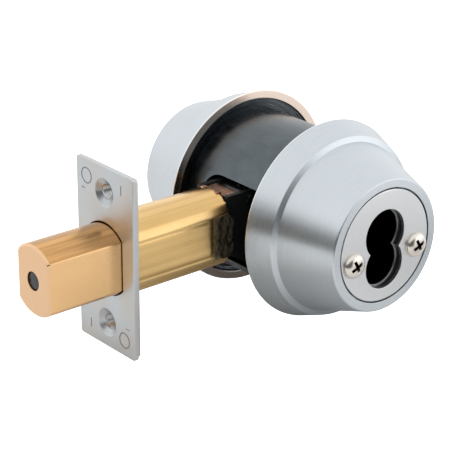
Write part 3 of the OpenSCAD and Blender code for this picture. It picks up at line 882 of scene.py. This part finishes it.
def build_tube():
    radius, half = TUBE_HIGH[0], TUBE_HIGH[1]
    wall = 2.0 * MM
    section = rounded([(radius - wall, -half, 0.2 * MM), (radius, -half, 0.2 * MM),
                       (radius, half, 0.2 * MM), (radius - wall, half, 0.2 * MM)], 3)
    tube = lathe("through_door_tube", section, segments=256)
    top, bottom, end, corner = 12.8 * MM, -15.0 * MM, 11.2 * MM, 7.0 * MM
    slot = rounded([(end, bottom, corner), (end, top, corner), (-2 * half, top, 0),
                    (-2 * half, bottom, 0)], 10)
    cut(tube, slot, -2 * radius, 0, place_x)
    keep_sharp(tube, 35)
    install(tube, "root", "chassis_black", "chassis_black", "chassis_tube")


# -------- latch


def plate_marks():
    """Cutters for shallow plain marks: two rings and four dashes, with no lettering."""
    low, high = PLATE_LOW[0] - 0.5 * MM, PLATE_LOW[0] + MARK_DEPTH
    marks = []
    for sign in (-1, 1):
        ring = (RING_MARK[0] * sign, RING_MARK[1] * sign)
        loops = [circle(ring, r, 48) for r in (RING_R, RING_R - LINE_W)]
        marks.append(loft("ring_mark", [ring_at(loops[0], low), ring_at(loops[0], high),
                                        ring_at(loops[1], high), ring_at(loops[1], low)],
                          closed=True))
        for y, z, half_w, half_h in DASH_MARKS:
            dash = [((y + a * half_w) * sign, (z + b * half_h) * sign) for a, b in CORNERS]
            marks.append(prism("dash_mark", dash, low, high, place_x))
    return marks


def build_plates():
    """Faceplate with countersunk holes, and the case flange behind it."""
    opening = flatted(BOLT_R + 0.35 * MM, BOLT_HALF_W + 0.35 * MM)
    half_w, half_h = PLATE_HIGH[1], PLATE_HIGH[2]
    bores = [circle((0, sz * PLATE_HOLE_Z), 2.4 * MM, 64) for sz in (-1, 1)]
    front = plate("faceplate_skin", rounded_rect(half_w, half_h, 1.0 * MM), [opening] + bores,
                  PLATE_LOW[0], PLATE_HIGH[0], place_x, 0.15 * MM)
    for mark in plate_marks():
        apply_boolean(front, mark)
    for sz in (-1, 1):
        section = [(0, -2 * MM), (SINK_R + 2 * MM * SINK_LEAN, -2 * MM), (SINK_R, 0),
                   (SINK_R - 0.2 * MM, 0.12 * MM), (2.35 * MM, SINK_DEPTH), (0, SINK_DEPTH)]
        cone = lathe_solid("sink", section, segments=96)
        turn_to_x(cone, PLATE_LOW[0], sz * PLATE_HOLE_Z)
        apply_boolean(front, cone)
    keep_sharp(front, 25)
    install(front, "root", "faceplate_steel", "faceplate_steel", "faceplate")

    bores = [circle((0, sz * PLATE_HOLE_Z), 2.8 * MM, 64) for sz in (-1, 1)]
    back = plate("case_flange_skin", rounded_rect(FLANGE_HIGH[1], FLANGE_HIGH[2], 1.0 * MM),
                 [case_outline(0.1 * MM, 0.1 * MM)] + bores, FLANGE_LOW[0], FLANGE_HIGH[0], place_x,
                 0.15 * MM)
    keep_sharp(back, 25)
    install(back, "root", "flange_steel", "faceplate_steel", "case_flange")


def build_thread_sleeves():
    """Short threaded sleeves behind the faceplate's screw holes."""
    start, end, pitch = PLATE_HIGH[0] + 0.05 * MM, FLANGE_HIGH[0] + 2.4 * MM, 0.7 * MM
    crest, root, outside = 2.3 * MM, 2.6 * MM, 2.75 * MM
    turns = int((end - start) / pitch)
    thread = []
    for k in range(turns):
        thread += [(root, start + k * pitch), (crest, start + (k + 0.5) * pitch)]
    section = [(outside, start)] + thread + [(root, start + turns * pitch),
                                             (outside, start + turns * pitch)]
    parts = []
    for sz in (-1, 1):
        sleeve = lathe("sleeve", section, segments=96)
        turn_to_x(sleeve, z=sz * PLATE_HOLE_Z)
        parts.append(sleeve)
    sleeves = join("thread_sleeves", parts)
    smooth_all(sleeves)
    keep_sharp(sleeves, 40)
    install(sleeves, "root", "flange_steel", "faceplate_steel")


def ring_at(outline, x):
    return [(x, u, v) for u, v in outline]


def case_dip(x, z):
    """How far the case's side is pressed in at (x, z): it sinks towards the side window."""
    middle = (SIDE_WINDOW_TOP + SIDE_WINDOW_BOTTOM) / 2
    half = (SIDE_WINDOW_TOP - SIDE_WINDOW_BOTTOM) / 2
    away = math.hypot(max(SIDE_WINDOW_X - x, 0.0), max(abs(z - middle) - half, 0.0))
    near = max(0.0, 1.0 - away / DIP_REACH)
    off_corner = min(1.0, max(0.0, (DIP_TOP - abs(z)) / DIP_FADE))
    return DIP_DEPTH * near * near * (3 - 2 * near) * off_corner


def build_case():
    """Drawn brass case: soft corners, sides that dip towards the rear windows, and a rolled lip."""
    front, rear = CASE_LOW[0], CASE_REAR
    outer = creased(evened(case_outline(), 288, 8), 0.16 * MM)
    # the wall is thin at its corner flats, where the bolt's edges pass
    inner = evened(case_outline(CASE_WALL, CORNER_WALL), 288, 8)

    def ring(x, depth):
        points = []
        for (yo, zo), (yi, zi) in zip(outer, inner):
            y, z = yo + (yi - yo) * depth, zo + (zi - zo) * depth
            dip = case_dip(x, z) * (1 - 0.85 * depth) if abs(yo) > SIDE_FROM_Y else 0.0
            points.append((x, y - math.copysign(dip, y), z))
        return points
    fine = [SIDE_WINDOW_X - 4 * MM + k * 0.4 * MM for k in range(20)]
    stations = [front, front + 9 * MM, front + 18 * MM, front + 26 * MM] + fine
    stations = [x for x in stations if x < rear - 0.25 * MM] + [rear - 0.2 * MM]
    rings = [ring(x, 0.0) for x in stations]
    rings += [ring(rear - 0.06 * MM, 0.12), ring(rear, 0.5), ring(rear - 0.06 * MM, 0.88)]
    rings += [ring(x, 1.0) for x in reversed(stations)]
    shell = loft("case_skin", rings, closed=True)
    window = rounded([(SIDE_WINDOW_X, SIDE_WINDOW_BOTTOM, SIDE_WINDOW_CORNER),
                      (0, SIDE_WINDOW_BOTTOM, 0), (0, SIDE_WINDOW_TOP, 0),
                      (SIDE_WINDOW_X, SIDE_WINDOW_TOP, SIDE_WINDOW_CORNER)], 8)
    cut(shell, window, -20 * MM, 20 * MM, place_y)
    smooth_all(shell)
    keep_sharp(shell, 40)
    install(shell, "root", "case_brass", "case_brass", "case_shell")
    build_tongue(rear)


def build_tongue(rear):
    """Copper-coloured tongue: it steps down behind the case, runs back and is turned down."""
    end, wall = CASE_HIGH[0], CASE_WALL
    high, low, foot, step = 11.9 * MM, TONGUE_TOP, 8 * MM, -29.4 * MM
    strip = rounded([(rear - MM, high - wall, 0), (step - wall, high - wall, 0.15 * MM),
                     (step - wall, low - wall, 0.5 * MM), (end - wall, low - wall, 0.2 * MM),
                     (end - wall, foot, 0.05 * MM), (end, foot, 0.05 * MM),
                     (end, low, 0.5 * MM), (step, low, 0.2 * MM),
                     (step, high, 0.4 * MM), (rear - MM, high, 0)])
    neck, half_w, notch = 3.8 * MM, 5.2 * MM, -28.9 * MM
    tongue = prism("case_tongue", strip, -half_w, half_w, place_y)
    edge = [(rear - 2 * MM, neck), (notch, neck), (notch, half_w), (notch + MM, half_w - MM),
            (notch + 2 * MM, half_w), (end + MM, half_w)]
    plan = prism("plan", edge + [(x, -y) for x, y in reversed(edge)], 0, 20 * MM, place_z)
    apply_boolean(tongue, plan, "INTERSECT")
    soften(tongue, 0.12 * MM, 2, 40)
    install(tongue, "root", "tongue_copper", "case_brass")


def build_bolt():
    """Brass bolt with a chamfered front, flats on its sides and a bore for the hardened pin."""
    front, rear = BOLT_LOW[0], BOLT_HIGH[0]
    edge = rounded([(0.0, 3 * MM, 0), (0.0, 0.7 * MM, 0.25 * MM), (0.7 * MM, 0.0, 0.3 * MM),
                    (3 * MM, 0.0, 0)], 4)[1:-1]
    rings = [ring_at(evened(flatted(BOLT_R - inset, BOLT_HALF_W - inset * 0.8), 288, 2),
                     front + back) for back, inset in edge]
    rings += [[(x, y, z) for _, y, z in rings[-1]] for x in (front + 10 * MM, rear)]
    bolt = loft("bolt_bar", rings)
    bore_r, bore_depth = 2.9 * MM, 27 * MM
    cut(bolt, circle((0, 0), bore_r, 64), front - MM, front + bore_depth, place_x)
    slot_w, low, high, slot_depth = 3.4 * MM, -3 * MM, 6 * MM, 8 * MM
    slot_box = [(-slot_w, low), (slot_w, low), (slot_w, high), (-slot_w, high)]
    cut(bolt, slot_box, rear - slot_depth, rear + MM, place_x)
    keep_sharp(bolt, 40)
    install(bolt, "bolt", "bolt_brass", "bolt_brass", "bolt")

    pin_r = PIN_HIGH[1]
    section = [(0, 0), (pin_r - 0.5 * MM, 0), (pin_r - 0.15 * MM, 0.15 * MM), (pin_r, 0.5 * MM),
               (pin_r, PIN_HIGH[0] - PIN_LOW[0]), (0, PIN_HIGH[0] - PIN_LOW[0])]
    pin = lathe_solid("hardened_core", section, segments=64)
    turn_to_x(pin, PIN_LOW[0])
    keep_sharp(pin, 40)
    install(pin, "bolt", "hard_steel", "hard_steel", "hardened_pin")


# -------- screws


def cross_arm(centre, angle, reach, half_w, y):
    """A rectangle round centre (x, z) at y, with its long side at the angle."""
    along = Vector((math.cos(angle), math.sin(angle)))
    across = Vector((-along.y, along.x))
    points = [Vector(centre) + along * a * reach + across * b * half_w for a, b in CORNERS]
    return [(point.x, y, point.y) for point in points]


def build_screws():
    """Pan-head screws with a cross recess, standing on the inside face plate."""
    turn = math.radians(25)
    seat, shank = -DISC_HIGH[1], 2.05 * MM
    top = seat - HEAD_T
    bends = [math.radians(5 * k) for k in range(1, 18)]
    dome = [((HEAD_R - 0.05 * MM) * math.sin(bend), top + 1.4 * MM * (1 - math.cos(bend)))
            for bend in bends]
    section = [(0, top)] + dome + [
        (HEAD_R, seat - 0.45 * MM), (HEAD_R - 0.05 * MM, seat - 0.15 * MM),
        (HEAD_R - 0.25 * MM, seat), (shank, seat), (shank, SCREW_HIGH[1] - MM),
        (shank - 0.6 * MM, SCREW_HIGH[1]), (0, SCREW_HIGH[1])]
    parts = []
    for sx in (-1, 1):
        centre = (sx * SCREW_X, SCREW_Z)
        screw = lathe_solid("screw", section, centre, 96)
        for angle in (turn, turn + math.pi / 2):
            rings = [cross_arm(centre, angle, 2.75 * MM, 0.62 * MM, top - 0.5 * MM),
                     cross_arm(centre, angle, 1.2 * MM, 0.38 * MM, top + 1.7 * MM)]
            apply_boolean(screw, loft("cross", rings))
        parts.append(screw)
    screws = join("screw_pair", parts)
    smooth_all(screws)
    keep_sharp(screws, 30)
    install(screws, "root", "screw_nickel", "screw_nickel", "mounting_screws")


# -------- pieces carried over from the CAD


def dress_frame():
    """CAD pieces whose shape is right get rounded edges and their own material."""
    slots = {row["node"]: row["material_slot"] for row in frame["record"]["subparts"]}
    for name, piece in frame["nodes"].items():
        if name in REPLACED:
            continue
        soften(piece, 0.1 * MM, 2, 30, weld=True)
        piece.data.materials.clear()
        piece.data.materials.append(MATERIALS[OTHER_FINISH.get(name, slots[name])])


REPLACED = ["inside_collar", "outside_collar", "inside_face_plate", "outside_face_plate",
            "inside_base_flange", "outside_base_flange", "inside_core_base",
            "outside_core_base", "inside_core_barrel", "outside_core_barrel", "chassis_tube",
            "faceplate", "case_flange", "case_shell", "bolt", "hardened_pin", "mounting_screws"]
OTHER_FINISH = {"cheek_rivets": "hard_steel"}

# -------- camera, floor and light

CAMERA_AZIMUTH, CAMERA_ELEVATION, CAMERA_ROLL = -39.57, 22.88, 0.21
CAMERA_DISTANCE = 0.57786
CAMERA_AIM = (-0.01656, 0.00991, -0.00686)
CAMERA_LENS = 147.28
FLOOR_Z = -0.12
TABLE_AT = (1.24, 1.36)


def build_camera():
    azimuth, elevation = math.radians(CAMERA_AZIMUTH), math.radians(CAMERA_ELEVATION)
    back = Vector((math.sin(azimuth) * math.cos(elevation),
                   -math.cos(azimuth) * math.cos(elevation), math.sin(elevation)))
    right = Vector((math.cos(azimuth), math.sin(azimuth), 0))
    up = back.cross(right)
    turned = Matrix((right, up, back)).transposed() @ Matrix.Rotation(
        math.radians(CAMERA_ROLL), 3, "Z")
    data = bpy.data.cameras.new("camera")
    data.lens = CAMERA_LENS
    data.sensor_width = 36
    data.clip_start = 0.01
    camera = linked("camera", data)
    camera.matrix_world = (Matrix.Translation(Vector(CAMERA_AIM) + back * CAMERA_DISTANCE)
                           @ turned.to_4x4())
    bpy.context.scene.camera = camera


def card(name, centre, width, material):
    """A square studio card facing up, not part of the object. Its own X and Y point the other way
    from the world's."""
    def make(bm):
        bm.faces.new([bm.verts.new((u * width / 2, v * width / 2, 0)) for u, v in CORNERS])
    made = new_piece(name, make, smooth=False)
    made.data.materials.append(material)
    made.matrix_world = (Matrix.Translation(centre)
                         @ Vector((0, 0, 1)).to_track_quat("Z", "Y").to_matrix().to_4x4())
    return made


def build_world():
    """A white light tent: bright all round and above, dark near the horizon on the camera's side,
    with one brighter softbox low on the right."""
    world = bpy.data.worlds.new("studio")
    bpy.context.scene.world = world
    world.use_nodes = True
    sky = Nodes(world.node_tree, "Generated")
    x, y, z = sky.parts()
    azimuth = sky.times(sky.math("ARCTAN2", x, sky.times(y, -1.0)), 180 / math.pi)

    def ease(value, low, high, out_low=0.0, out_high=1.0):
        made = sky.tree.nodes.new("ShaderNodeMapRange")
        made.interpolation_type = "SMOOTHSTEP"
        for socket, number in zip(made.inputs, (value, low, high, out_low, out_high)):
            sky.feed(socket, number)
        return made.outputs[0]

    def sector(middle, half, soft):
        away = sky.absolute(sky.minus(azimuth, middle))
        return ease(away, half - soft, half + soft, 1.0, 0.0)

    def between(low, high, soft):
        return sky.times(ease(z, low - soft, low + soft),
                         ease(z, high - soft, high + soft, 1.0, 0.0))

    level = ease(z, 0.0, 1.0, 1.06, 0.98)
    dark = sky.times(sector(-46.5, 63.5, 9), ease(z, 0.0, 0.62, 1.0, 0.0))
    level = sky.times(level, ease(dark, 0.0, 1.0, 1.0, 0.11))
    box = sky.times(sector(46, 20, 8), between(-0.12, 0.36, 0.06))
    level = sky.plus(level, sky.times(box, 0.40))
    backdrop = sky.tree.nodes["Background"].inputs
    sky.feed(backdrop["Strength"], level)
    sky.feed(backdrop["Color"], (0.985, 0.995, 1.0, 1))


def shaded_table(name, colour):
    """A pale table with a painted shadow under the lock and painted shade where the inside face is
    mirrored in it.
    """
    s = Shader(name, colour, roughness=0.9)
    parts = s.parts()

    def beyond(part, at, middle, half):
        offset = s.minus(s.minus(at, parts[part]), middle * MM)
        return s.math("MAXIMUM", s.minus(s.absolute(offset), half * MM), 0.0)

    def away_from(middle, half):
        return s.distance(*(beyond(*patch) for patch in zip("XY", TABLE_AT, middle, half)))
    away = s.math("MINIMUM", away_from((-8, 3), (34, 37)), away_from((56, -90), (14, 10)))
    # painted shadow: the table is darker close to the lock
    s.paint(s.blend(s.spread(away, 4 * MM, 40 * MM), shade(colour, 0.66), colour))
    return s.material


def build_studio():
    """The camera sees a plain white floor well below. The lock reflects a pale one close under it."""
    white = Shader("floor_white", (1, 1, 1), roughness=0.9)
    white.set("Emission Color", (1, 1, 1, 1))
    white.set("Emission Strength", 1.1)
    seen = card("floor", (0, 0, FLOOR_Z), 12, white.material)
    for kind in ("diffuse", "glossy", "transmission", "shadow"):
        setattr(seen, "visible_" + kind, False)
    table = card("table", (*TABLE_AT, COLLAR_LOW[2] - 0.5 * MM), 3,
                 shaded_table("table_white", (0.95, 0.95, 0.94)))
    table.visible_camera = False
    build_world()


# -------- put together

bpy.context.scene.view_settings.view_transform = "Standard"
build_camera()
for side, name in ((-1, "inside"), (1, "outside")):
    build_collar(side, name + "_collar")
    build_face_plate(side, name + "_face_plate", with_screws=side < 0)
    build_base_flange(side, name + "_base_flange")
    build_socket(side, name + "_core")
build_tube()
build_plates()
build_thread_sleeves()
build_case()
build_bolt()
build_screws()
dress_frame()
build_studio()
